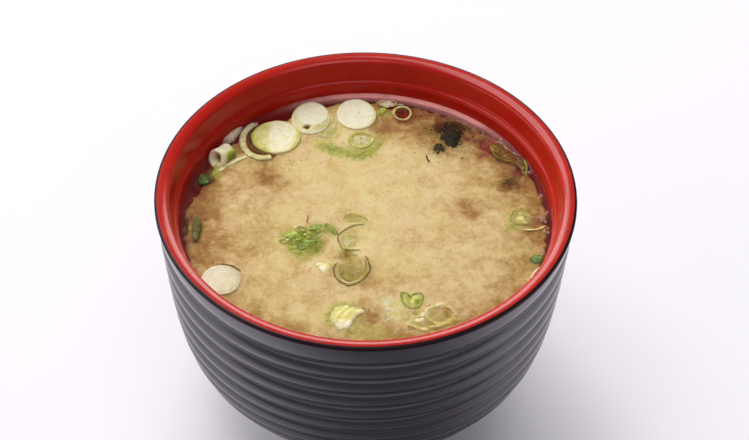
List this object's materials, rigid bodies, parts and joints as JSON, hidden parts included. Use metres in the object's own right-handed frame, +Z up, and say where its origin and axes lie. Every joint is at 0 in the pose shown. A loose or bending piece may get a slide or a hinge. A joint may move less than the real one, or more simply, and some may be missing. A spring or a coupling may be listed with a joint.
{
  "type": "miso soup",
  "caption": "Round ribbed lacquer bowl, black outside and red inside, filled with cloudy miso soup with sliced scallion and wakame floating on it.",
  "frame": {"origin": "on the surface that the bowl stands on, under the bowl's middle", "axes": "+Z up along the bowl's own axis; -Y towards the viewer"},
  "size_m": [0.115, 0.115, 0.068],
  "materials": {
    "lacquer": "satin black lacquer outside, glossy red lacquer inside and on the lip",
    "broth": "wet surface over cloudy miso paste in suspension",
    "scallion_white": "wet translucent layers",
    "scallion_green": "wet translucent green",
    "wakame": "wet, nearly black green"
  },
  "bodies": {
    "root": {"bowl": "lacquer", "soup": "broth", "scallion_slice_1": "scallion_white", "scallion_slice_2": "scallion_white", "scallion_slice_3": "scallion_white", "scallion_slice_4": "scallion_white", "scallion_layer_1": "scallion_white", "scallion_layer_2": "scallion_white", "scallion_wedge": "scallion_white", "scallion_chop_5": "scallion_white", "scallion_chop_7": "scallion_white", "scallion_ring_1": "scallion_green", "scallion_ring_2": "scallion_green", "scallion_ring_3": "scallion_green", "scallion_ring_4": "scallion_green", "scallion_ring_5": "scallion_green", "scallion_ring_6": "scallion_green", "scallion_ring_7": "scallion_green", "scallion_ring_8": "scallion_green", "scallion_loop": "scallion_green", "scallion_tube": "scallion_green", "scallion_strip_1": "scallion_green", "scallion_strip_2": "scallion_green", "scallion_strip_3": "scallion_green", "scallion_strip_4": "scallion_green", "scallion_strip_5": "scallion_green", "scallion_strip_6": "scallion_green", "scallion_chop_1": "scallion_green", "scallion_chop_2": "scallion_green", "scallion_chop_3": "scallion_green", "scallion_chop_4": "scallion_green", "scallion_chop_6": "scallion_green", "scallion_chop_8": "scallion_green", "scallion_chop_9": "scallion_green", "wakame_leaf": "wakame"}
  },
  "joints": []
}
